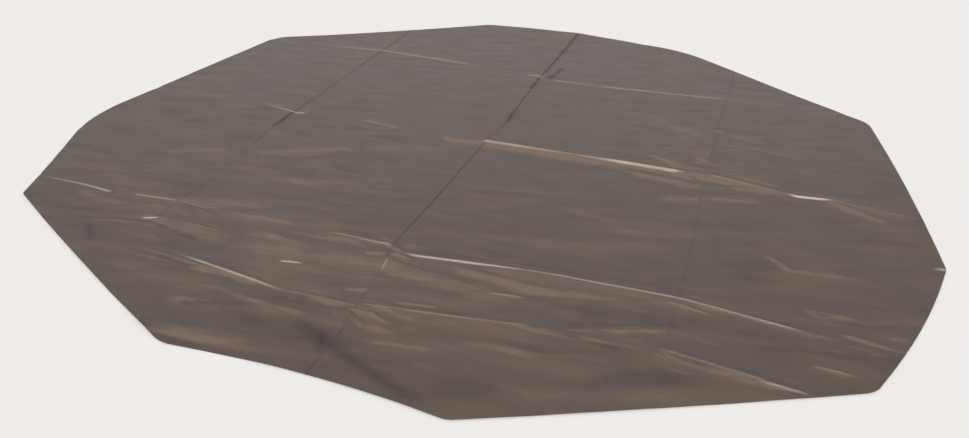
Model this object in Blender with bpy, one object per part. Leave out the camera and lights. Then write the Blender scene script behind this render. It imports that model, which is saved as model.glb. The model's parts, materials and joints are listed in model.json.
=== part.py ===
"""Spa cover: one ten-sided sheet of dark polyethylene film, spread flat on the ground.

The film was packed folded four by four, so it carries three folds across (far, centre,
near) and three folds along (left, middle, right). The folds across stand up as low
ridges and act as living hinges between four rows of film. Each row is divided at the
folds along into flat panels, and each ridge has one sloping flank on each side.

Frame: +X across the sheet, +Y away from the near edge, +Z up, and the origin on the
ground under the crossing of the two middle folds, which is the middle of the sheet.
"""

import math

import bpy

# Driving dimensions, in metres.
FILM = 0.0002  # thickness of the polyethylene
FOLD_SPACING = 0.930  # the folded packet is this wide and this long
GAP = 0.0003  # between neighbouring solids
OUTER_RIDGE_HEIGHT = 0.0083  # axis of the far and the near fold above the ground
OUTER_FLANK = 0.040  # width of each flank of the far and the near ridge, in plan
CENTRE_FLANK = 0.060
STACK_CLEARANCE = 0.0012  # between the two outer rows when everything is folded in
AXIS_LIFT = 0.00025  # a fold turns about a line this far above the film's middle

# The centre ridge has to clear both outer rows, each folded over a ridge of its own.
CENTRE_RIDGE_HEIGHT = 2 * OUTER_RIDGE_HEIGHT + STACK_CLEARANCE / 2
SHEET_REACH = 2.0  # further from the middle than any corner

# The ten corners of the cut, clockwise from the left end of the far edge.
OUTLINE = (
    (-0.530, 1.700),
    (0.600, 1.640),
    (1.590, 0.855),
    (1.770, -0.445),
    (1.508, -1.203),
    (0.452, -1.700),
    (-0.445, -1.672),
    (-1.480, -1.083),
    (-1.770, -0.380),
    (-1.615, 0.970),
)

COLUMN_NAMES = ("left", "midleft", "midright", "right")
FILM_COLOUR = (0.135, 0.112, 0.103, 1.0)
FILM_ROUGHNESS = 0.38


def remove_everything():
    for obj in list(bpy.data.objects):
        bpy.data.objects.remove(obj, do_unlink=True)


def new_collection(name):
    collection = bpy.data.collections.new(name)
    bpy.context.scene.collection.children.link(collection)
    return collection


def film_material(name):
    """Dark brown-grey polyethylene, half glossy."""
    material = bpy.data.materials.new(name + "_film")
    material.use_nodes = True
    shader = material.node_tree.nodes["Principled BSDF"]
    shader.inputs["Base Color"].default_value = FILM_COLOUR
    shader.inputs["Roughness"].default_value = FILM_ROUGHNESS
    shader.inputs["Metallic"].default_value = 0.0
    return material


def cut_along(corners, axis, limit, side):
    """The part of a convex outline whose coordinate is past the limit, on the side +1 or -1."""
    kept = []
    for here, after in zip(corners, corners[1:] + corners[:1]):
        depth = side * (here[axis] - limit)
        next_depth = side * (after[axis] - limit)
        if depth >= 0:
            kept.append(here)
        if depth * next_depth < 0:
            share = depth / (depth - next_depth)
            kept.append(tuple(a + share * (b - a) for a, b in zip(here, after)))
    return kept


def cell(low, high):
    """The sheet's outline cut to the box from low to high, both (x, y)."""
    corners = list(OUTLINE)
    for axis in (0, 1):
        corners = cut_along(corners, axis, low[axis], 1)
        corners = cut_along(corners, axis, high[axis], -1)
    return corners


def film_piece(name, corners, place, tilt, hinge, collection):
    """A flat piece of film: a filled 2D outline, given the film's thickness by its extrude."""
    outline = bpy.data.curves.new(name, "CURVE")
    outline.dimensions = "2D"
    outline.fill_mode = "BOTH"
    outline.extrude = FILM / 2
    spline = outline.splines.new("POLY")
    spline.points.add(len(corners) - 1)
    for point, (x, y) in zip(spline.points, corners):
        point.co = (x, y, 0.0, 1.0)
    spline.use_cyclic_u = True
    outline.materials.append(film_material(name))
    piece = bpy.data.objects.new(name, outline)
    collection.objects.link(piece)
    piece.parent = hinge
    piece.location = [a - b for a, b in zip(place, hinge["axis_at"])]
    piece.rotation_euler = (tilt, 0.0, 0.0)
    return piece


def hinge_empty(name, place, parent, collection):
    """An empty on a row's fold axis: turning it about X folds the row and all that hangs on it."""
    empty = bpy.data.objects.new(name, None)
    empty.empty_display_size = 0.1
    collection.objects.link(empty)
    empty["axis_at"] = place
    if parent:
        empty.parent = parent
        place = [a - b for a, b in zip(place, parent["axis_at"])]
    empty.location = place
    return empty


def panels(row, low_y, high_y, hinge, collection):
    """The row's four flat panels, from left to right."""
    folds = (-SHEET_REACH, -FOLD_SPACING, 0.0, FOLD_SPACING, SHEET_REACH)
    for name, left, right in zip(COLUMN_NAMES, folds, folds[1:]):
        corners = cell((left + GAP / 2, low_y), (right - GAP / 2, high_y))
        film_piece(f"{row}_{name}_panel", corners, (0.0, 0.0, FILM / 2), 0.0, hinge, collection)


def flank(name, fold_y, height, width, side, hinge, collection):
    """One sloping side of a ridge, from beside the fold down to the ground, on the side +1 or -1 in Y."""
    top = height - AXIS_LIFT
    slope = math.atan((top - FILM / 2) / width)
    near_y, far_y = sorted((fold_y + side * GAP / 2, fold_y + side * width))
    corners = cell((-SHEET_REACH, near_y), (SHEET_REACH, far_y))
    along_slope = [(x, (y - fold_y) / math.cos(slope)) for x, y in corners]
    film_piece(name, along_slope, (0.0, fold_y, top), -side * slope, hinge, collection)


def main():
    remove_everything()
    collection = new_collection("spa_cover")

    far_fold = FOLD_SPACING
    near_fold = -FOLD_SPACING
    root = hinge_empty("midfar_row", (0.0, 0.0, 0.0), None, collection)
    far = hinge_empty("far_row_axis", (0.0, far_fold, OUTER_RIDGE_HEIGHT), root, collection)
    midnear = hinge_empty("midnear_row_axis", (0.0, 0.0, CENTRE_RIDGE_HEIGHT), root, collection)
    near = hinge_empty("near_row_axis", (0.0, near_fold, OUTER_RIDGE_HEIGHT), midnear, collection)

    outer_foot = OUTER_FLANK + GAP
    centre_foot = CENTRE_FLANK + GAP
    panels("far", far_fold + outer_foot, SHEET_REACH, far, collection)
    panels("midfar", centre_foot, far_fold - outer_foot, root, collection)
    panels("midnear", near_fold + outer_foot, -centre_foot, midnear, collection)
    panels("near", -SHEET_REACH, near_fold - outer_foot, near, collection)

    outer = (OUTER_RIDGE_HEIGHT, OUTER_FLANK)
    centre = (CENTRE_RIDGE_HEIGHT, CENTRE_FLANK)
    flank("far_ridge_far_flank", far_fold, *outer, 1, far, collection)
    flank("far_ridge_near_flank", far_fold, *outer, -1, root, collection)
    flank("centre_ridge_far_flank", 0.0, *centre, 1, root, collection)
    flank("centre_ridge_near_flank", 0.0, *centre, -1, midnear, collection)
    flank("near_ridge_far_flank", near_fold, *outer, 1, midnear, collection)
    flank("near_ridge_near_flank", near_fold, *outer, -1, near, collection)


main()
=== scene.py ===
"""Spa cover: the looks of one thin sheet of dark polyethylene film, spread flat on the ground.

The whole film is one height field over the ground: three ridges across, three creases
along, pulled wrinkles, crumples at the crossings, and edges that stand a little proud.
It is made as one mesh and then parted along two lines where the film lies flat on one
row, into three pieces.
"""

import json
import math

import bpy
import numpy as np
from mathutils import Matrix, Vector


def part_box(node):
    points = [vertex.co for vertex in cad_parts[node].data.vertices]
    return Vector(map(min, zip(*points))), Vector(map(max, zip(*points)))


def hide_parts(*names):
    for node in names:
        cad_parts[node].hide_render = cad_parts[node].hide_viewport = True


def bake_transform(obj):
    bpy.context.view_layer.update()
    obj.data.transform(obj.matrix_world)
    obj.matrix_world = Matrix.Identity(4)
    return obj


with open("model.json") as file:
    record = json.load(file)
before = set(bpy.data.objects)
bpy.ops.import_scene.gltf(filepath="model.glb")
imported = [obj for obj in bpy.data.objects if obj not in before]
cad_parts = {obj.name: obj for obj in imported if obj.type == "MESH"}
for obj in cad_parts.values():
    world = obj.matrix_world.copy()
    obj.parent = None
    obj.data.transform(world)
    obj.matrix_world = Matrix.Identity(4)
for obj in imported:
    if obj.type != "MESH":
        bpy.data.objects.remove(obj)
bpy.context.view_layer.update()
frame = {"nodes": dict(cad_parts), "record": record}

# ---------------------------------------------------------------- sizes, in metres
JOINTS = {joint["name"]: joint for joint in frame["record"]["behaviour"]["joints"]}
FAR_FOLD = JOINTS["far_fold"]["pos_m"][1]
CENTRE_FOLD = JOINTS["centre_fold"]["pos_m"][1]
NEAR_FOLD = JOINTS["near_fold"]["pos_m"][1]
OUTER_AXIS_Z = JOINTS["far_fold"]["pos_m"][2]
CENTRE_AXIS_Z = JOINTS["centre_fold"]["pos_m"][2]
SPACING = FAR_FOLD - CENTRE_FOLD
CREASES = (-SPACING, 0.0, SPACING)
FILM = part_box("midfar_midleft_panel")[1].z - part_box("midfar_midleft_panel")[0].z
AXIS_LIFT = 0.00025

CELL = 0.0092  # size of a mesh cell
FINE_STEPS = (0.0015, 0.003, 0.005, 0.0075, 0.011, 0.016)  # lines of mesh beside each crease
# Bands across the sheet with finer cells: low Y, high Y and the size of a cell.
FINE_BANDS = ((-1.36, -0.86, 0.0042), (-0.10, 0.05, 0.0036), (0.84, 1.03, 0.0042))
LOWEST_FILM = 0.0003  # the film's middle where it rests on the ground
REST_SOFTNESS = 0.0006  # how softly it comes down to the ground
HIGHEST_WRINKLE = 0.0074  # so that a folded stack has room for every layer
HIGHEST_FAR_EDGE = 0.0112  # the lifted far edge comes down on the film when it is folded in
LANDING_HEIGHT = 0.0040  # the film is held down to about this where the far edge comes down
CREASE_DEPTH = 0.0011
OUTER_BEND = 0.008  # half width of the strip that bends at the far and near fold
CENTRE_BEND = 0.015
SEAMS = (NEAR_FOLD / 2, FAR_FOLD / 2)  # where one mesh is parted into three pieces

# For each corner of the cut, anticlockwise: how far it is rounded, and how far the edge
# that follows it bows in towards the middle, or out where negative.
CORNERS = {
    "right": (0.035, -0.012),
    "far_right": (0.05, 0.004),
    "far_edge_right": (0.20, -0.045),
    "far_edge_left": (0.06, 0.018),
    "far_left": (0.07, 0.0),
    "left": (0.18, 0.004),
    "near_left": (0.012, -0.008),
    "near_edge_left": (0.035, 0.026),
    "near_edge_right": (0.02, -0.005),
    "near_right": (0.04, -0.018),
}

# ---------------------------------------------------------------- small maths


def smooth(low, high, value):
    """0 below low, 1 above high, and a smooth step between them."""
    t = np.clip((value - low) / (high - low), 0.0, 1.0)
    return t * t * (3.0 - 2.0 * t)


def noise(x, y, seed):
    """Gradient noise, about -0.7 to 0.7, that changes over distances of 1."""
    column = np.floor(x).astype(np.int64)
    row = np.floor(y).astype(np.int64)
    across = x - column
    along = y - row

    def corner(step_x, step_y):
        mixed = (column + step_x) * 374761393 + (row + step_y) * 668265263 + seed * 974634777
        mixed = mixed & 0xFFFFFFFF
        mixed = ((mixed ^ (mixed >> 13)) * 1274126177) & 0xFFFFFFFF
        angle = (mixed ^ (mixed >> 16)) / 4294967296.0 * 2.0 * math.pi
        return np.cos(angle) * (across - step_x) + np.sin(angle) * (along - step_y)

    ease_x = across**3 * (across * (across * 6.0 - 15.0) + 10.0)
    ease_y = along**3 * (along * (along * 6.0 - 15.0) + 10.0)
    low = corner(0, 0) * (1.0 - ease_x) + corner(1, 0) * ease_x
    high = corner(0, 1) * (1.0 - ease_x) + corner(1, 1) * ease_x
    return low * (1.0 - ease_y) + high * ease_y


def crests(x, y, seed, sharp):
    """Creased noise: long crests, about 1 high, along the lines where plain noise is zero."""
    return 1.0 - np.sqrt(noise(x, y, seed) ** 2 + sharp**2) * 2.2


def spot(x, y, at, reach):
    """A round soft patch of 1 at a point, falling to 0."""
    far = np.hypot((x - at[0]) / reach[0], (y - at[1]) / reach[1])
    return np.exp(-(far**2))


# ---------------------------------------------------------------- the cut of the sheet


def cad_corners():
    """The corners of the sheet's cut, off the CAD nodes, anticlockwise from the X axis."""
    points = set()
    for obj in frame["nodes"].values():
        for vertex in obj.data.vertices:
            points.add((round(vertex.co.x, 4), round(vertex.co.y, 4)))
    points = sorted(points)

    def half_hull(ordered):
        hull = []
        for p in ordered:
            while len(hull) > 1:
                (ax, ay), (bx, by) = hull[-2:]
                if (bx - ax) * (p[1] - ay) - (by - ay) * (p[0] - ax) > 2e-3:
                    break
                hull.pop()
            hull.append(p)
        return hull

    hull = half_hull(points)[:-1] + half_hull(points[::-1])[:-1]
    return sorted(hull, key=lambda p: math.atan2(p[1], p[0]) % (2 * math.pi))


def outline():
    """The cut edge as a closed line of points: rounded corners, and edges that bow a little."""
    corners = [np.array(p) for p in cad_corners()]
    # The right-hand corner lies just below the X axis, so it was last and is moved to the front.
    corners = corners[-1:] + corners[:-1]
    rounds, bows = zip(*CORNERS.values())
    line = []
    for i, here in enumerate(corners):
        before = corners[i - 1]
        after = corners[(i + 1) % len(corners)]
        next_round = rounds[(i + 1) % len(corners)]
        to_before = (before - here) / np.linalg.norm(before - here)
        length = np.linalg.norm(after - here)
        to_after = (after - here) / length
        inward = np.array((-to_after[1], to_after[0]))
        start = here + to_before * rounds[i]
        end = here + to_after * rounds[i]
        for t in np.linspace(0.0, 1.0, 9):
            line.append((1 - t) ** 2 * start + 2 * t * (1 - t) * here + t * t * end)
        stop = after - to_after * next_round
        for t in np.linspace(0.0, 1.0, 61)[1:-1]:
            line.append(end + (stop - end) * t + inward * bows[i] * 4 * t * (1 - t))
    return np.array(line)


def inside(points, line):
    """Which points lie inside a closed line."""
    found = np.zeros(len(points), bool)
    x, y = points.T
    for (ax, ay), (bx, by) in zip(line, np.roll(line, -1, axis=0)):
        if ay == by:
            continue
        crosses = (ay > y) != (by > y)
        found ^= crosses & (x < (bx - ax) * (y - ay) / (by - ay) + ax)
    return found


def nearest_on(points, line):
    """The nearest point of a closed line to each point."""
    spans = np.roll(line, -1, axis=0) - line
    best = np.full(len(points), np.inf)
    found = points.copy()
    for start, span in zip(line, spans):
        t = np.clip((points - start) @ span / (span @ span), 0.0, 1.0)
        at = start + t[:, None] * span
        gap = np.linalg.norm(points - at, axis=1)
        closer = gap < best
        found[closer] = at[closer]
        best[closer] = gap[closer]
    return found


# ---------------------------------------------------------------- the film's height


def fold_profile(offset, near_width, far_width, height, sharp):
    """A fold's cross-section, 1 at the crest and 0 at both feet.

    The near side first drops steeply by the share called sharp, then slopes gently."""
    steep_width = np.maximum(sharp * height * 0.85, 0.002)
    away = np.maximum(offset, 0.0)
    towards = np.maximum(-offset, 0.0)
    far_side = np.clip(1.0 - away / far_width, 0.0, 1.0) ** 1.3
    steep = sharp * (1.0 - smooth(0.0, steep_width, towards))
    gentle = (1.0 - sharp) * np.clip(1.0 - towards / (1.25 * near_width), 0.0, 1.0) ** 1.9
    return np.where(offset > 0, far_side, steep + gentle)


def fold_sheen(offset, height, sharp):
    """1 on the steep strip just below a sharp crest, where a painted highlight goes."""
    middle = sharp * height * 0.42
    reach = np.maximum(sharp * height * 0.55, 0.0026)
    return smooth(0.25, 0.78, sharp) * np.exp(-(((offset + middle) / reach) ** 2))


def through(place, marks, column):
    """The value of one column of the marks, read off along their first column."""
    return np.interp(place, [m[0] for m in marks], [m[column] for m in marks])


# Each ridge: its fold, the highest its crest may stand, its near and far widths, and marks along
# it: X, how far the crest strays in Y, its height as a share of the highest, and its sharp share.
RIDGES = (
    (FAR_FOLD, OUTER_AXIS_Z - AXIS_LIFT, 0.034, 0.030, (
        (-1.70, 0.020, 0.15, 0.0), (-1.30, 0.035, 0.55, 0.2), (-1.15, 0.035, 0.75, 0.45),
        (-0.96, 0.060, 0.80, 0.5), (-0.45, 0.025, 0.75, 0.5), (-0.36, 0.010, 0.30, 0.0),
        (-0.12, -0.020, 0.30, 0.0), (-0.07, -0.025, 0.80, 0.5), (-0.01, -0.025, 0.95, 0.5),
        (0.04, -0.050, 0.55, 0.1), (0.09, -0.060, 0.95, 0.55), (0.23, -0.055, 0.80, 0.4),
        (0.30, -0.055, 0.60, 0.3), (0.33, -0.055, 0.85, 0.5), (0.90, -0.005, 0.80, 0.45),
        (0.96, 0.010, 0.60, 0.1), (1.20, 0.005, 0.50, 0.2), (1.30, 0.000, 0.10, 0.0),
        (1.70, 0.000, 0.10, 0.0),
    )),
    (CENTRE_FOLD, CENTRE_AXIS_Z - AXIS_LIFT, 0.062, 0.044, (
        (-1.70, 0.040, 0.10, 0.0), (-1.45, 0.035, 0.26, 0.2), (-1.15, 0.050, 0.24, 0.3),
        (-1.05, 0.030, 0.34, 0.5), (-0.93, 0.000, 0.42, 0.6), (-0.90, 0.010, 0.36, 0.6),
        (-0.86, 0.020, 0.10, 0.0), (-0.64, 0.020, 0.08, 0.0), (-0.58, 0.030, 0.30, 0.45),
        (-0.44, 0.012, 0.26, 0.4), (-0.38, 0.012, 0.10, 0.0), (-0.22, 0.000, 0.14, 0.0),
        (-0.16, -0.020, 0.58, 0.25), (-0.06, -0.022, 0.66, 0.36), (-0.03, 0.0, 0.70, 0.3),
        (-0.01, 0.000, 1.00, 0.52), (0.25, 0.0, 0.97, 0.44), (0.38, 0.0, 0.95, 0.36),
        (0.50, 0.0, 0.96, 0.50), (0.60, 0.0, 1.00, 0.58), (0.80, -0.004, 0.97, 0.58),
        (0.86, 0.000, 0.75, 0.2), (0.92, 0.0, 0.75, 0.1),
        (0.96, 0.006, 0.80, 0.4), (1.18, -0.036, 0.60, 0.35), (1.24, -0.046, 0.46, 0.3),
        (1.28, -0.056, 0.52, 0.85), (1.38, -0.044, 0.50, 0.85), (1.42, -0.040, 0.50, 0.25),
        (1.66, -0.080, 0.40, 0.25), (1.77, -0.085, 0.20, 0.0),
    )),
    (NEAR_FOLD, OUTER_AXIS_Z - AXIS_LIFT, 0.040, 0.022, (
        (-1.60, 0.0, 0.2, 0.0), (-1.48, -0.006, 0.60, 0.45), (-1.32, -0.008, 0.75, 0.55),
        (-1.20, -0.022, 0.80, 0.60), (-1.17, -0.022, 0.20, 0.0), (-1.12, -0.010, 0.20, 0.0),
        (-1.08, -0.006, 0.55, 0.5), (-0.91, 0.006, 0.55, 0.5), (-0.72, -0.022, 0.50, 0.35),
        (-0.60, -0.020, 0.30, 0.0), (-0.34, -0.014, 0.40, 0.1), (-0.25, -0.008, 0.80, 0.4),
        (-0.05, -0.014, 0.95, 0.5), (-0.02, -0.025, 0.90, 0.2), (0.03, -0.048, 0.88, 0.3),
        (0.06, -0.052, 0.92, 0.72), (0.30, -0.024, 0.92, 0.72), (0.43, -0.012, 0.95, 0.45),
        (0.55, -0.004, 0.95, 0.50), (0.90, 0.0, 0.95, 0.52), (0.96, 0.0, 0.90, 0.50),
        (1.27, -0.044, 0.85, 0.50), (1.33, -0.050, 0.50, 0.2), (1.60, -0.06, 0.20, 0.0),
    )),
)

# Wrinkles that stand out: start, end, height, near width, far width, sharp share and bow.
WRINKLES = (
    ((-0.95, -0.915), (-0.62, -0.855), 0.0072, 0.085, 0.018, 0.18, 0.0),
    ((-0.95, -1.085), (-0.89, -1.062), 0.0070, 0.024, 0.014, 0.75, 0.0),
    ((-0.96, -1.060), (-0.62, -1.064), 0.0073, 0.080, 0.016, 0.33, 0.0),
    ((-0.85, -1.262), (-0.52, -1.285), 0.0045, 0.030, 0.020, 0.35, 0.0),
    ((-0.68, -1.246), (-0.24, -1.318), 0.0066, 0.042, 0.022, 0.62, 0.0),
    ((-0.26, -1.312), (0.06, -1.318), 0.0040, 0.040, 0.022, 0.30, 0.0),
    ((-0.345, -1.168), (-0.265, -1.154), 0.0040, 0.016, 0.010, 0.80, 0.0),
    ((-0.50, -1.015), (-0.26, -1.052), 0.0060, 0.055, 0.022, 0.10, 0.0),
    ((-0.38, -1.110), (0.05, -1.035), 0.0073, 0.085, 0.024, 0.12, 0.0),
    ((-0.05, -1.045), (0.36, -1.100), 0.0072, 0.070, 0.026, 0.22, 0.0),
    ((0.36, -1.106), (0.49, -1.090), 0.0034, 0.020, 0.014, 0.42, 0.0),
    ((0.18, -1.000), (0.60, -1.030), 0.0062, 0.055, 0.020, 0.1, 0.0),
    ((0.30, -0.965), (0.98, -0.965), 0.0072, 0.090, 0.050, 0.0, 0.0),
    ((0.00, -1.302), (0.56, -1.230), 0.0070, 0.080, 0.026, 0.40, -0.006),
    ((0.46, -1.238), (0.80, -1.230), 0.0034, 0.020, 0.050, 0.10, 0.0),
    ((0.62, -1.222), (0.95, -1.105), 0.0048, 0.030, 0.050, 0.15, 0.0),
    ((0.90, -0.958), (1.06, -0.990), 0.0042, 0.028, 0.014, 0.4, 0.0),
    ((0.88, -1.205), (1.30, -1.268), 0.0070, 0.110, 0.030, 0.36, 0.0),
    ((1.20, -1.262), (1.34, -1.275), 0.0050, 0.030, 0.016, 0.55, 0.0),
    ((-0.62, -1.630), (-0.22, -1.590), 0.0062, 0.030, 0.075, 0.0, 0.0),
    ((0.58, -1.560), (1.02, -1.380), 0.0066, 0.090, 0.040, 0.10, 0.0),
    ((0.72, -1.500), (0.86, -1.450), 0.0040, 0.022, 0.014, 0.3, 0.0),
    ((-0.004, -1.105), (-0.018, -1.015), 0.0040, 0.012, 0.010, 0.48, 0.0),
    ((-0.90, -1.080), (-0.66, -1.145), 0.0040, 0.014, 0.050, 0.0, 0.0),
    ((-1.15, -1.150), (-0.92, -1.100), 0.0036, 0.012, 0.040, 0.0, 0.0),
    ((-0.84, -1.240), (-0.60, -1.290), 0.0040, 0.014, 0.050, 0.0, 0.0),
    ((-0.56, -1.470), (-0.30, -1.425), 0.0044, 0.014, 0.060, 0.0, 0.0),
    ((-1.20, -0.560), (-1.00, -0.485), 0.0028, 0.045, 0.030, 0.0, 0.0),
    ((-0.84, -0.435), (-0.52, -0.275), 0.0036, 0.045, 0.030, 0.0, -0.015),
    ((-1.20, -0.750), (-1.02, -0.685), 0.0030, 0.040, 0.030, 0.0, 0.0),
    ((-0.64, -0.620), (-0.34, -0.560), 0.0034, 0.045, 0.030, 0.1, -0.012),
    ((-0.72, -0.955), (-0.34, -0.880), 0.0044, 0.050, 0.030, 0.1, 0.0),
    ((0.78, -0.255), (0.97, -0.190), 0.0056, 0.045, 0.022, 0.34, 0.0),
    ((0.93, -0.185), (1.18, -0.145), 0.0048, 0.036, 0.022, 0.30, 0.0),
    ((0.60, -0.060), (0.98, -0.100), 0.0044, 0.050, 0.030, 0.0, 0.0),
    ((0.70, 0.120), (0.95, 0.060), 0.0050, 0.036, 0.022, 0.1, 0.0),
    ((0.58, 0.200), (0.90, 0.090), 0.0040, 0.040, 0.022, 0.0, 0.0),
    ((0.86, 0.200), (0.98, 0.110), 0.0036, 0.030, 0.018, 0.0, 0.0),
    ((1.00, 0.060), (1.22, 0.015), 0.0050, 0.040, 0.024, 0.1, 0.0),
    ((1.42, -0.060), (1.62, -0.160), 0.0050, 0.045, 0.024, 0.1, 0.0),
    ((0.60, 0.560), (0.90, 0.420), 0.0034, 0.050, 0.030, 0.0, 0.0),
    ((0.97, 0.500), (1.16, 0.430), 0.0034, 0.040, 0.020, 0.0, 0.0),
    ((0.905, 0.500), (0.955, 0.496), 0.0050, 0.016, 0.010, 0.7, 0.0),
    ((1.00, 0.400), (1.36, 0.320), 0.0030, 0.040, 0.020, 0.0, 0.0),
    ((1.19, -0.540), (1.28, -0.635), 0.0046, 0.030, 0.020, 0.1, 0.0),
    ((1.24, -0.630), (1.52, -0.600), 0.0034, 0.026, 0.016, 0.35, 0.0),
    ((1.30, -0.850), (1.47, -0.850), 0.0040, 0.050, 0.020, 0.1, 0.0),
    ((1.42, -0.950), (1.57, -0.980), 0.0044, 0.040, 0.018, 0.2, 0.0),
    ((1.34, -1.140), (1.46, -1.150), 0.0040, 0.030, 0.014, 0.4, 0.0),
    ((1.72, -0.452), (1.78, -0.440), 0.0050, 0.016, 0.010, 0.7, 0.0),
    ((0.34, -1.360), (0.62, -1.345), 0.0030, 0.055, 0.040, 0.0, 0.0),
    ((0.20, -1.440), (0.56, -1.425), 0.0032, 0.060, 0.040, 0.0, 0.0),
    ((0.00, -1.280), (0.12, -1.272), 0.0030, 0.018, 0.012, 0.36, 0.0),
    ((0.05, -1.330), (0.16, -1.375), 0.0032, 0.018, 0.012, 0.34, 0.0),
    ((-0.01, -1.350), (0.08, -1.405), 0.0032, 0.018, 0.012, 0.30, 0.0),
    ((0.10, -1.255), (0.26, -1.235), 0.0030, 0.018, 0.012, 0.34, 0.0),
    ((-0.07, -1.245), (0.02, -1.215), 0.0032, 0.018, 0.012, 0.36, 0.0),
    ((-0.10, -1.020), (-0.03, -1.000), 0.0034, 0.014, 0.010, 0.40, 0.0),
    ((-0.01, -0.985), (0.05, -1.010), 0.0034, 0.014, 0.010, 0.36, 0.0),
    ((-0.42, -1.380), (-0.10, -1.400), 0.0034, 0.040, 0.022, 0.0, 0.0),
    ((-1.32, -0.980), (-1.05, -1.010), 0.0030, 0.040, 0.022, 0.0, 0.0),
)


def wrinkle(x, y, start, end, height, near_width, far_width, sharp, bow):
    """(height, sheen) of one pulled fold from start to end that tapers at both ends."""
    (ax, ay), (bx, by) = start, end
    length = math.hypot(bx - ax, by - ay)
    ux, uy = (bx - ax) / length, (by - ay) / length
    along = ((x - ax) * ux + (y - ay) * uy) / length
    off = (y - ay) * ux - (x - ax) * uy - bow * 4 * along * (1 - along)
    taper = smooth(-0.05, 0.28, along) * smooth(1.05, 0.68, along)
    profile = fold_profile(off, near_width * (0.4 + 0.6 * taper), far_width, height, sharp)
    return height * taper * profile, taper * fold_sheen(off, height, sharp)


# Crumples where folds cross: place, reach and strength.
CRUMPLES = (
    ((-0.93, 0.0), (0.10, 0.05), 0.0020),
    ((-0.10, -0.01), (0.12, 0.05), 0.0026),
    ((0.93, 0.02), (0.20, 0.12), 0.0036),
    ((-0.84, -0.99), (0.22, 0.12), 0.0026),
    ((-0.04, -0.95), (0.10, 0.06), 0.0040),
    ((-0.02, -1.08), (0.14, 0.07), 0.0034),
    ((0.93, -0.94), (0.12, 0.07), 0.0022),
    ((0.00, 0.92), (0.14, 0.08), 0.0024),
    ((0.93, 0.93), (0.24, 0.12), 0.0016),
    ((-0.93, 0.93), (0.10, 0.06), 0.0010),
    ((0.06, -1.33), (0.20, 0.09), 0.0032),
    ((0.93, -1.20), (0.20, 0.12), 0.0022),
    ((0.84, 0.30), (0.30, 0.20), 0.0030),
    ((0.16, -1.48), (0.22, 0.08), 0.0022),
    ((-0.50, -1.38), (0.34, 0.16), 0.0016),
    ((1.45, -1.00), (0.20, 0.12), 0.0024),
)

# Where the left, middle and right crease run: marks of Y and X along each, near to far.
CREASE_PATHS = (
    ((-1.33, -0.950), (-1.07, -0.900), (-0.92, -0.910), (-0.73, -0.895), (-0.20, -0.948),
     (1.43, -0.943)),
    ((-1.62, 0.023), (-1.42, 0.022), (-1.08, -0.012), (-0.93, -0.034), (-0.42, -0.020), (0.04, -0.014),
     (0.22, 0.004), (0.91, -0.011), (1.76, 0.002)),
    ((-1.46, 0.943), (-1.11, 0.931), (-0.90, 0.941), (-0.47, 0.936), (0.04, 0.926),
     (0.50, 0.931), (1.36, 0.940)),
)
# How strongly each crease shows, by Y.
CREASE_SHOW = (
    ((-1.30, 0.10), (-0.90, 0.3), (-0.40, 0.15), (-0.28, 0.6), (-0.15, 0.2), (0.05, 0.8),
     (0.5, 0.5), (1.4, 0.7)),
    ((-1.62, 0.3), (-1.45, 0.3), (-1.1, 0.15), (-0.95, 0.5), (-0.5, 0.75), (-0.1, 0.65), (0.15, 0.4),
     (0.25, 0.9), (0.9, 0.9), (1.2, 1.1), (1.7, 1.2)),
    ((-1.46, 0.08), (-1.0, 0.12), (-0.4, 0.22), (0.0, 0.2), (0.5, 0.25), (1.36, 0.4)),
)


def crease_line(k, y):
    """X of crease k at each Y."""
    marks = CREASE_PATHS[k]
    return through(y, marks, 1) + 0.0022 * noise(y / 0.13, y * 0.0 + k, 31)


def crease_shows(x, y):
    """1 in the bottom of a crease, 0 away from it."""
    total = np.zeros_like(x)
    for k in range(3):
        off = np.abs(x - crease_line(k, y))
        strength = through(y, CREASE_SHOW[k], 1) * (1.0 + 0.5 * noise(y / 0.07, y * 0.0 + k, 33))
        total = np.maximum(total, strength * np.exp(-((off / 0.0042) ** 2)))
    return np.clip(total, 0.0, 1.0)


# Film that slopes down this way, towards the near edge, gets painted light as if lit from
# this side, and film that slopes the other way gets painted shade.
PAINTED_LIGHT_SIDE = (-0.30, -0.95)
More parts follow.
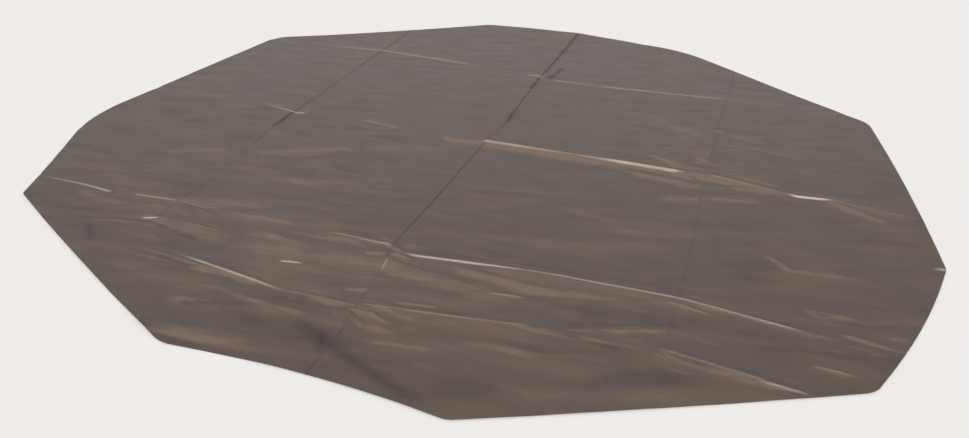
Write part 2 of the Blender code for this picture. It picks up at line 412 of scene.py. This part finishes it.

# Patches of painted light: start, end, half width and strength.
PAINTED_LIGHT_PATCHES = (
    ((-0.42, -1.125), (0.02, -1.065), 0.050, 1.00),
    ((-0.02, -1.075), (0.34, -1.125), 0.038, 0.90),
    ((-0.50, -1.035), (-0.26, -1.065), 0.026, 0.70),
    ((-0.74, -0.975), (-0.30, -0.905), 0.028, 0.50),
    ((-0.90, -0.930), (-0.64, -0.860), 0.034, 0.75),
    ((-0.92, -1.080), (-0.66, -1.100), 0.034, 0.95),
    ((0.16, -1.010), (0.60, -1.045), 0.026, 0.60),
    ((0.40, -0.975), (0.94, -0.955), 0.040, 0.60),
    ((-0.30, -1.180), (0.02, -1.160), 0.030, 0.50),
    ((-0.42, -1.215), (-0.20, -1.250), 0.030, 0.45),
    ((0.02, -1.230), (0.34, -1.190), 0.034, 0.45),
    ((0.04, -1.335), (0.52, -1.275), 0.045, 0.60),
    ((0.20, -1.430), (0.70, -1.400), 0.050, 0.35),
    ((0.62, -1.545), (0.98, -1.410), 0.040, 0.55),
    ((-0.46, -1.610), (-0.24, -1.595), 0.022, 0.80),
    ((0.94, -1.260), (1.24, -1.330), 0.050, 0.40),
    ((-0.80, -1.360), (-0.52, -1.400), 0.030, 0.50),
    ((-0.40, -1.275), (-0.10, -1.285), 0.026, 0.50),
    ((-0.84, -0.435), (-0.55, -0.285), 0.022, 0.60),
    ((-1.19, -0.560), (-1.02, -0.485), 0.022, 0.55),
    ((-1.19, -0.750), (-1.03, -0.690), 0.018, 0.50),
    ((-0.66, -0.640), (-0.36, -0.570), 0.022, 0.55),
    ((-0.44, -0.230), (-0.20, -0.150), 0.022, 0.50),
    ((0.10, -0.420), (0.30, -0.370), 0.022, 0.35),
    ((0.46, -0.470), (0.62, -0.500), 0.018, 0.40),
    ((0.45, -0.760), (0.80, -0.640), 0.030, 0.45),
    ((0.72, -0.560), (0.92, -0.500), 0.026, 0.40),
    ((0.60, 0.500), (0.90, 0.380), 0.020, 0.35),
)
# Patches of painted shade, listed the same way.
PAINTED_SHADE_PATCHES = (
    ((-0.080, -1.470), (0.015, -1.510), 0.030, 1.00),
    ((-0.010, -1.505), (0.310, -1.645), 0.019, 1.00),
    ((-0.300, -1.480), (-0.080, -1.500), 0.030, 0.50),
    ((-0.480, -1.475), (-0.330, -1.430), 0.012, 0.80),
    ((-0.850, -1.268), (-0.610, -1.295), 0.012, 0.70),
    ((-1.150, -1.150), (-0.920, -1.095), 0.010, 0.70),
    ((-0.890, -1.100), (-0.700, -1.142), 0.010, 0.80),
    ((-0.910, -0.925), (-0.730, -0.965), 0.008, 0.60),
    ((0.450, -0.905), (0.930, -0.875), 0.014, 0.35),
    ((0.100, -0.955), (0.450, -0.905), 0.012, 0.60),
    ((0.740, -1.470), (1.000, -1.320), 0.030, 0.35),
    ((0.650, -1.190), (0.950, -1.075), 0.012, 0.60),
    ((0.540, -1.232), (0.800, -1.250), 0.010, 0.60),
    ((-1.100, -1.180), (-1.020, -1.270), 0.010, 0.80),
)
# Where a crease is wider than its groove: the same, as painted shade in the creases.
CREASE_SHADE_PATCHES = (
    ((0.008, 1.740), (-0.006, 0.980), 0.0050, 0.80),
    ((0.062, 1.080), (0.050, 0.960), 0.0070, 0.90),
    ((0.052, 0.960), (0.040, 0.890), 0.0100, 1.00),
    ((-0.011, 0.880), (-0.008, 0.720), 0.0060, 0.80),
    ((0.000, 0.420), (0.006, 0.250), 0.0050, 0.80),
    ((-0.944, 1.430), (-0.952, 0.700), 0.0030, 0.60),
    ((-0.952, 0.030), (-0.950, -0.170), 0.0055, 0.90),
    ((-0.020, -1.480), (0.010, -1.560), 0.0060, 0.40),
)


def patches_of_tone(x, y, patches):
    """How much of the listed patches shows at each point, 0 to 1."""
    total = np.zeros_like(x)
    for (ax, ay), (bx, by), reach, strength in patches:
        dx, dy = bx - ax, by - ay
        along = np.clip(((x - ax) * dx + (y - ay) * dy) / (dx * dx + dy * dy), 0.0, 1.0)
        away = np.hypot((x - ax - along * dx) * 0.5, y - ay - along * dy)
        total = np.maximum(total, strength * np.exp(-((away / reach) ** 2)))
    grain = noise(x / 0.11, y / 0.026, 71) + 0.6 * noise(x / 0.05, y / 0.013, 72)
    return np.clip(total * (1.0 + 0.9 * grain), 0.0, 1.0)


def base_wrinkles(x, y):
    """Slack in the film: soft streaks, drawn out across, deeper towards the near left."""
    turn = math.radians(11)
    u = x * math.cos(turn) + y * math.sin(turn)
    v = y * math.cos(turn) - x * math.sin(turn)
    u_bent = u + 0.05 * noise(u / 0.35, v / 0.25, 5)
    v_bent = v + 0.040 * noise(u / 0.42, v / 0.30, 3) + 0.010 * noise(u / 0.12, v / 0.10, 4)
    slack = (
        0.24
        + 0.18 * smooth(0.6, -0.2, y)
        + 0.60 * smooth(-0.3, -1.2, y)
        + 0.30 * smooth(0.5, -1.0, x) * smooth(0.2, -0.8, y)
    )
    patches = 0.35 + 1.3 * np.clip(noise(x / 0.36, y / 0.20, 8) + 0.22, 0.0, 1.0)
    long_folds = crests(u_bent / 0.46, v_bent / 0.110, 11, 0.10) - 0.5
    short_folds = crests(u_bent / 0.20, v_bent / 0.055, 12, 0.10) - 0.5
    swell = noise(x / 0.8, y / 0.5, 14)
    return 0.0024 + 0.0016 * swell + slack * patches * (0.0034 * long_folds + 0.0007 * short_folds)


def crumples(x, y):
    """Short folds that fan out of the crossings."""
    fan = crests(x / 0.14 + y / 0.20, y / 0.062 - x / 0.26, 21, 0.06) - 0.5
    fan += 0.35 * (crests(x / 0.08 - y / 0.13, y / 0.038 + x / 0.20, 22, 0.06) - 0.5)
    total = np.zeros_like(x)
    for at, reach, strength in CRUMPLES:
        total += strength * spot(x, y, at, reach) * fan
    return total


def edge_lift(x, y, gap):
    """How far the cut edge stands up from the ground, dying away inwards."""
    round_it = np.arctan2(y, x)
    wave = 0.5 + 0.7 * noise(round_it / 0.30, gap * 0.0, 41) + 0.3 * noise(round_it / 0.11, gap * 0.0, 42)
    far = smooth(1.0, 1.55, y)
    near_left = smooth(-0.1, -1.0, x + 0.6 * y)
    height = (0.0016 + 0.0030 * near_left + 0.0080 * far) * np.clip(wave + 0.6 * far, 0.0, 1.2)
    return height * np.exp(-gap / (0.05 + 0.07 * far))


def film_height(x, y, gap):
    """Height of the film's middle above the ground. gap is how far inside the cut edge it is."""
    height = base_wrinkles(x, y) + crumples(x, y) + edge_lift(x, y, gap)
    for each in WRINKLES:
        height += wrinkle(x, y, *each)[0]
    height -= CREASE_DEPTH * crease_shows(x, y)
    # The film rests on the ground where it would dip below it, and wrinkles are only so high.
    above = (height - LOWEST_FILM) / REST_SOFTNESS
    height = LOWEST_FILM + np.logaddexp(0.0, above) * REST_SOFTNESS
    height = height / (1.0 + (height / HIGHEST_WRINKLE) ** 5) ** 0.2
    for fold, highest, near_width, far_width, marks in RIDGES:
        crest, off, sharp = ridge_crest(x, y, fold, highest, marks)
        shape = fold_profile(off, near_width, far_width, crest, sharp)
        height = height * (1.0 - shape) + np.maximum(crest, 0.5 * height) * shape
    # The far edge stands up most where the creases meet it. Folded in, it comes down beside the
    # centre ridge, so the film is kept lower there and the two never touch.
    raised = 0.0035 * np.exp(-((x / 0.08) ** 2)) + 0.0015 * np.exp(-(((x - 0.95) / 0.07) ** 2))
    height += smooth(1.40, 1.70, y) * raised
    height = np.where(y > 1.2, np.minimum(height, HIGHEST_FAR_EDGE), height)
    landing = smooth(0.085, 0.12, y) * smooth(0.30, 0.25, y) * smooth(0.80, 0.65, np.abs(x))
    height -= landing * np.maximum(height - LANDING_HEIGHT, 0.0) * 0.85
    return np.maximum(height, FILM / 2 + 1e-5)


def ridge_crest(x, y, fold, highest, marks):
    """(height of the crest at this X, how far beyond it the point lies in Y, its sharp share)."""
    crest = highest * through(x, marks, 2) * (1.0 + 0.05 * noise(x / 0.05, x * 0.0, 51))
    off = y - fold - through(x, marks, 1) - 0.0015 * noise(x / 0.08, x * 0.0, 53)
    return np.minimum(crest, highest), off, through(x, marks, 3)


def film_sheen(x, y):
    """Where a painted highlight lies along sharp crests, 0 to 1."""
    total = np.zeros_like(x)
    for fold, highest, _, _, marks in RIDGES:
        crest, off, sharp = ridge_crest(x, y, fold, highest, marks)
        total = np.maximum(total, fold_sheen(off, crest, sharp))
    for each in WRINKLES:
        total = np.maximum(total, wrinkle(x, y, *each)[1])
    return np.clip(total * (1.0 + 0.5 * noise(x / 0.09, y / 0.02, 61)), 0.0, 1.0)


# ---------------------------------------------------------------- the mesh


def columns(low, high):
    """X of the mesh lines: evenly spaced, and finer beside each crease."""
    stops = [low, *CREASES, high]
    lines = set(CREASES)
    for a, b in zip(stops, stops[1:]):
        first = a + (FINE_STEPS[-1] if a in CREASES else 0.0)
        last = b - (FINE_STEPS[-1] if b in CREASES else 0.0)
        lines.update(np.linspace(first, last, round((last - first) / CELL) + 1))
    for crease in CREASES:
        for step in FINE_STEPS[:-1]:
            lines.update((crease - step, crease + step))
    return np.array(sorted(lines))


def rows(low, high):
    """Y of the mesh lines: finer in the bands round the folds, and one on each seam."""
    stops = {low: CELL}
    for seam in SEAMS:
        stops[seam] = CELL
    for start, end, size in FINE_BANDS:
        stops[start] = size
        stops[end] = CELL
    places = sorted(stops)
    lines = {high}
    for a, b in zip(places, places[1:] + [high]):
        lines.update(np.linspace(a, b, round((b - a) / stops[a]) + 1))
    return np.array(sorted(lines))


def follow_creases(points):
    """Move the fine columns of mesh sideways on to the creases they are for."""
    x, y = points.T
    moved = x.copy()
    for k, crease in enumerate(CREASES):
        moved += (crease_line(k, y) - crease) * np.exp(-(((x - crease) / 0.10) ** 2))
    return np.column_stack([moved, y])


def cut_grid():
    """(points, square faces) of a flat grid whose rim lies on the cut edge."""
    line = outline()
    low, high = line.min(axis=0) - CELL, line.max(axis=0) + CELL
    xs, ys = columns(low[0], high[0]), rows(low[1], high[1])
    grid_x, grid_y = np.meshgrid(xs, ys)
    points = follow_creases(np.column_stack([grid_x.ravel(), grid_y.ravel()]))
    index = np.arange(len(points)).reshape(len(ys), len(xs))
    faces = np.stack([index[:-1, :-1], index[:-1, 1:], index[1:, 1:], index[1:, :-1]], axis=-1)
    faces = faces.reshape(-1, 4)
    faces = faces[inside(points[faces].mean(axis=1), line)]
    used, faces = np.unique(faces, return_inverse=True)
    points = points[used]
    faces = faces.reshape(-1, 4)
    rim = np.unique(rim_edges(faces))
    points[rim] = nearest_on(points[rim], line)
    return points, faces


def rim_edges(faces):
    """The edges that only one face has, in that face's own direction."""
    edges = np.concatenate([faces[:, [k, (k + 1) % 4]] for k in range(4)])
    key = np.sort(edges, axis=1)
    _, first, count = np.unique(key, axis=0, return_index=True, return_counts=True)
    return edges[first[count == 1]]


def edge_gap(points):
    """How far inside the straight-sided cut each point is."""
    corners = np.array(cad_corners())
    gap = np.full(len(points), np.inf)
    for here, after in zip(corners, np.roll(corners, -1, axis=0)):
        span = (after - here) / np.linalg.norm(after - here)
        inward = np.array((-span[1], span[0]))
        gap = np.minimum(gap, (points - here) @ inward)
    return np.maximum(gap, 0.0)


def vertex_normals(points, faces):
    """Area-weighted normals of a mesh of squares."""
    a, b, c, d = (points[faces[:, k]] for k in range(4))
    face = np.cross(c - a, d - b)
    total = np.zeros_like(points)
    for k in range(4):
        np.add.at(total, faces[:, k], face)
    return total / np.maximum(np.linalg.norm(total, axis=1, keepdims=True), 1e-12)


def shell_mesh(name, middle, upright, faces):
    """A closed mesh of the film's thickness, from the squares of the film's middle."""
    count = len(middle)
    rim = rim_edges(faces)
    shell = np.concatenate([middle + upright * FILM / 2, middle - upright * FILM / 2])
    sides = np.stack([rim[:, 1], rim[:, 0], rim[:, 0] + count, rim[:, 1] + count], axis=1)
    quads = np.concatenate([faces, faces[:, ::-1] + count, sides])

    mesh = bpy.data.meshes.new(name)
    mesh.vertices.add(len(shell))
    mesh.vertices.foreach_set("co", shell.astype(np.float32).ravel())
    mesh.loops.add(quads.size)
    mesh.loops.foreach_set("vertex_index", quads.ravel().astype(np.int32))
    mesh.polygons.add(len(quads))
    mesh.polygons.foreach_set("loop_start", np.arange(0, quads.size, 4, dtype=np.int32))
    mesh.update(calc_edges=True)
    mesh.validate()
    mesh.polygons.foreach_set("use_smooth", np.ones(len(mesh.polygons), bool))
    add_flat_map(mesh, shell)
    return mesh


def film_marks(x, y, upright):
    """What the material reads at each point of the film, 0 to 1."""
    across, along = PAINTED_LIGHT_SIDE
    slope = (across * upright[:, 0] + along * upright[:, 1]) / upright[:, 2]
    return {
        # Painted shade in the creases' grooves and wider patches.
        "crease": np.maximum(crease_shows(x, y), patches_of_tone(x, y, CREASE_SHADE_PATCHES)),
        # A painted highlight on the steep strips below sharp crests.
        "sheen": film_sheen(x, y),
        "streaky": 0.35 + 0.65 * smooth(0.9, -0.6, y),
        # Painted light on slopes that face the near side, and in patches.
        "stretched": np.maximum(
            smooth(0.010, 0.115, slope), 0.75 * patches_of_tone(x, y, PAINTED_LIGHT_PATCHES)
        ),
        # Painted shade on slopes that face away from the near side, and in patches.
        "slack": np.maximum(
            0.80 * smooth(0.020, 0.260, -slope), 0.80 * patches_of_tone(x, y, PAINTED_SHADE_PATCHES)
        ),
    }


def film_piece(name, points, normals, faces, film):
    """A closed piece of the film from a part of the sheet's squares, with the sheet's normals."""
    used, local = np.unique(faces, return_inverse=True)
    middle, upright = points[used], normals[used]
    mesh = shell_mesh(name, middle, upright, local.reshape(-1, 4))
    for mark, values in film_marks(middle[:, 0], middle[:, 1], upright).items():
        both_sides = np.concatenate([values, values]).astype(np.float32)
        mesh.attributes.new(mark, "FLOAT", "POINT").data.foreach_set("value", both_sides)
    mesh.normals_split_custom_set_from_vertices(np.concatenate([upright, -upright]))
    mesh.materials.append(film)
    piece = bpy.data.objects.new(name, mesh)
    bpy.context.scene.collection.objects.link(piece)
    return piece


def add_flat_map(mesh, points):
    """A UV map of the film as it lies, in metres, so that the material folds with the film."""
    flat = mesh.uv_layers.new(name="flat")
    corner = np.empty(len(mesh.loops), np.int32)
    mesh.loops.foreach_get("vertex_index", corner)
    flat.data.foreach_set("uv", points[corner, :2].astype(np.float32).ravel())


# ---------------------------------------------------------------- material


class Nodes:
    """A short way to write a node tree."""

    def __init__(self, tree):
        self.tree = tree

    def add(self, kind, inputs=(), **settings):
        node = self.tree.nodes.new(kind)
        for name, value in settings.items():
            setattr(node, name, value)
        for socket, value in dict(inputs).items():
            if isinstance(value, bpy.types.NodeSocket):
                self.tree.links.new(value, node.inputs[socket])
            else:
                node.inputs[socket].default_value = value
        return node

    def stretched_noise(self, place, across, along, detail, distortion):
        """Noise on the flat film whose features are this long across and along, in metres."""
        turned = self.add("ShaderNodeMapping", {"Vector": place, "Rotation": (0.0, 0.0, STREAK_TURN)})
        scale = (1 / across, 1 / along, 1.0)
        scaled = self.add("ShaderNodeMapping", {"Vector": turned.outputs[0], "Scale": scale})
        made = self.add(
            "ShaderNodeTexNoise",
            {"Vector": scaled.outputs[0], "Scale": 1.0, "Detail": detail, "Distortion": distortion},
            noise_dimensions="2D",
        )
        return made.outputs["Fac"]

    def ramp(self, value, stops):
        """A ramp through (position, colour or grey) stops."""
        node = self.add("ShaderNodeValToRGB", {"Fac": value})
        elements = node.color_ramp.elements
        while len(elements) < len(stops):
            elements.new(0.5)
        for element, (position, colour) in zip(elements, stops):
            element.position = position
            element.color = (*colour, 1.0)
        return node.outputs["Color"]

    def mark(self, name):
        """One of the values stored in the film's mesh."""
        return self.add("ShaderNodeAttribute", attribute_name=name).outputs["Fac"]

    def math(self, operation, a, b):
        """Two values put together by an arithmetic operation."""
        return self.add("ShaderNodeMath", {0: a, 1: b}, operation=operation).outputs[0]

    def mix(self, factor, a, b):
        """Colour a, turning into colour b as the factor goes from 0 to 1."""
        return self.add("ShaderNodeMix", {0: factor, 6: a, 7: b}, data_type="RGBA").outputs[2]


STREAK_TURN = math.radians(-10)  # the streaks lie this far off the X axis
COOL_FILM = (0.097, 0.070, 0.058, 1.0)
WARM_FILM = (0.124, 0.086, 0.062, 1.0)
DARK_FILM = (0.070, 0.050, 0.044, 1.0)
# Painted light, painted shade, painted shade in the creases and a painted highlight:
PAINTED_LIGHT_FILM = (0.178, 0.126, 0.094, 1.0)
PAINTED_SHADE_FILM = (0.052, 0.036, 0.034, 1.0)
CREASE_SHADE_FILM = (0.020, 0.015, 0.014, 1.0)
PAINTED_SHEEN_FILM = (0.62, 0.56, 0.52, 1.0)


def grey(value):
    return (value, value, value)


def film_material():
    """Dark brown-grey polyethylene: warm and dark streaks, painted light, shade and highlights, an uneven
    gloss and fine crinkles.
    """
    material = bpy.data.materials.new("dark_film")
    material.use_nodes = True
    nodes = Nodes(material.node_tree)
    shader = material.node_tree.nodes["Principled BSDF"]
    link = material.node_tree.links.new
    place = nodes.add("ShaderNodeUVMap", uv_map="flat").outputs["UV"]

    streaks = nodes.stretched_noise(place, 0.34, 0.095, detail=1.5, distortion=0.25)
    streak_mask = nodes.ramp(streaks, ((0.50, grey(0.0)), (0.72, grey(0.8))))
    dents = nodes.stretched_noise(place, 0.30, 0.09, detail=1.0, distortion=0.3)
    dent_mask = nodes.ramp(dents, ((0.56, grey(0.0)), (0.76, grey(0.6))))
    streaky = nodes.mark("streaky")
    colour = nodes.mix(nodes.math("MULTIPLY", streak_mask, streaky), COOL_FILM, WARM_FILM)
    colour = nodes.mix(nodes.math("MULTIPLY", dent_mask, streaky), colour, DARK_FILM)
    # Painted light on slopes facing the near side, then painted shade on slopes facing away.
    colour = nodes.mix(nodes.mark("stretched"), colour, PAINTED_LIGHT_FILM)
    colour = nodes.mix(nodes.mark("slack"), colour, PAINTED_SHADE_FILM)
    # Painted shade in the creases.
    colour = nodes.mix(nodes.math("MULTIPLY", nodes.mark("crease"), 0.6), colour, CREASE_SHADE_FILM)
    # A painted highlight on the steep strips below sharp crests.
    colour = nodes.mix(nodes.math("MULTIPLY", nodes.mark("sheen"), 0.85), colour, PAINTED_SHEEN_FILM)
    link(colour, shader.inputs["Base Color"])

    gloss = nodes.stretched_noise(place, 0.16, 0.05, detail=5.0, distortion=0.2)
    link(nodes.ramp(gloss, ((0.30, grey(0.27)), (0.75, grey(0.40)))), shader.inputs["Roughness"])
    shader.inputs["IOR"].default_value = 1.5
    hidden = nodes.math("MULTIPLY", nodes.mark("crease"), 0.42)
    link(nodes.math("SUBTRACT", 0.5, hidden), shader.inputs["Specular IOR Level"])

    crinkle = nodes.stretched_noise(place, 0.075, 0.024, detail=3.0, distortion=0.4)
    fine = nodes.stretched_noise(place, 0.012, 0.006, detail=2.0, distortion=0.3)
    height = nodes.math("ADD", crinkle, nodes.math("MULTIPLY", fine, 0.06))
    bump = nodes.add("ShaderNodeBump", {"Height": height, "Strength": 0.5, "Distance": 0.0006})
    link(bump.outputs[0], shader.inputs["Normal"])
    return material


# ---------------------------------------------------------------- camera, light and floor

EYE = (1.042, -3.280, 1.522)
LOOK_LEFT = math.radians(17.76)
LOOK_DOWN = math.radians(28.86)
ROLL = math.radians(1.44)
LENS_MM = 32.12
SENSOR_MM = 36.0

KEY_FROM = (2.6, -6.2, 6.0)
KEY_STRENGTH = 2.55
KEY_SPREAD = math.radians(28)
KEY_COLOUR = (1.0, 0.96, 0.91)

STUDIO_COLOUR = (0.43, 0.425, 0.435)
BRIGHT_COLOUR = (0.61, 0.60, 0.60)
BRIGHT_TOWARDS = (-0.32, 0.88, 0.35)
BRIGHT_REACH = (0.80, 0.97)  # cosines off that direction where it begins and where it is full

FLOOR_SIZE = 60.0
FLOOR_HEIGHT = -0.0002


def add_camera():
    """The photograph's point of view: a standing person's, beyond the near edge and to the right."""
    camera = bpy.data.objects.new("camera", bpy.data.cameras.new("camera"))
    camera.data.lens = LENS_MM
    camera.data.sensor_width = SENSOR_MM
    camera.data.clip_start = 0.05
    turned = Matrix.Rotation(LOOK_LEFT, 4, "Z") @ Matrix.Rotation(math.pi / 2 - LOOK_DOWN, 4, "X")
    camera.matrix_world = Matrix.Translation(EYE) @ turned @ Matrix.Rotation(ROLL, 4, "Z")
    bpy.context.scene.collection.objects.link(camera)
    bpy.context.scene.camera = camera


def add_key_light():
    """One large soft light a long way off, from the camera's side."""
    light = bpy.data.lights.new("key_light", "SUN")
    light.angle = KEY_SPREAD
    light.energy = KEY_STRENGTH
    light.color = KEY_COLOUR
    lamp = bpy.data.objects.new("key_light", light)
    lamp.location = KEY_FROM
    lamp.visible_glossy = False
    lamp.rotation_euler = Vector(KEY_FROM).to_track_quat("Z", "Y").to_euler()
    bpy.context.scene.collection.objects.link(lamp)


def add_world():
    """A soft studio: even all round, and a little brighter beyond the far left of the sheet."""
    world = bpy.data.worlds.new("studio")
    bpy.context.scene.world = world
    world.use_nodes = True
    nodes = Nodes(world.node_tree)
    background = world.node_tree.nodes["Background"]
    place = nodes.add("ShaderNodeTexCoord").outputs["Generated"]
    facing = nodes.add("ShaderNodeVectorMath", {0: place, 1: BRIGHT_TOWARDS}, operation="DOT_PRODUCT")
    stops = zip(BRIGHT_REACH, (STUDIO_COLOUR, BRIGHT_COLOUR))
    lobe = nodes.ramp(facing.outputs["Value"], tuple(stops))
    world.node_tree.links.new(lobe, background.inputs["Color"])
    background.inputs["Strength"].default_value = 1.0


def add_floor():
    """A plain pale floor just under the film."""
    material = bpy.data.materials.new("pale_floor")
    material.use_nodes = True
    shader = material.node_tree.nodes["Principled BSDF"]
    shader.inputs["Base Color"].default_value = (0.88, 0.88, 0.88, 1.0)
    shader.inputs["Roughness"].default_value = 0.9
    shader.inputs["Specular IOR Level"].default_value = 0.1
    bpy.ops.mesh.primitive_plane_add(size=FLOOR_SIZE, location=(0.0, 0.0, FLOOR_HEIGHT))
    floor = bpy.context.object
    floor.name = "floor"
    floor.data.materials.append(material)


def add_studio():
    add_camera()
    add_world()
    add_key_light()
    add_floor()
    bpy.context.scene.view_settings.view_transform = "Standard"


# ---------------------------------------------------------------- assembly


def nodes_of(*beginnings):
    """The CAD nodes whose names begin so."""
    return [name for name in frame["nodes"] if name.startswith(beginnings)]


def add_film():
    """The whole film as one mesh, parted into three sheets."""
    flat, faces = cut_grid()
    height = film_height(flat[:, 0], flat[:, 1], edge_gap(flat))
    points = np.column_stack([flat, height])
    normals = vertex_normals(points, faces)
    film = film_material()

    y = points[faces][:, :, 1].mean(axis=1)
    near = y < SEAMS[0]
    far = y > SEAMS[1]
    sheets = (
        ("film_far", far, ("midfar_row", "far_row"), FAR_FOLD, OUTER_BEND, ("far_",)),
        ("film_middle", ~near & ~far, ("midfar_row", "midnear_row"), CENTRE_FOLD, -CENTRE_BEND,
         ("midfar_", "centre_")),
        ("film_near", near, ("midnear_row", "near_row"), NEAR_FOLD, -OUTER_BEND,
         ("midnear_", "near_")),
    )
    for name, chosen, bodies, fold, bend, node_beginnings in sheets:
        piece = film_piece(name, points, normals, faces[chosen], film)
        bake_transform(piece)
        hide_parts(*nodes_of(*node_beginnings))


add_film()
add_studio()
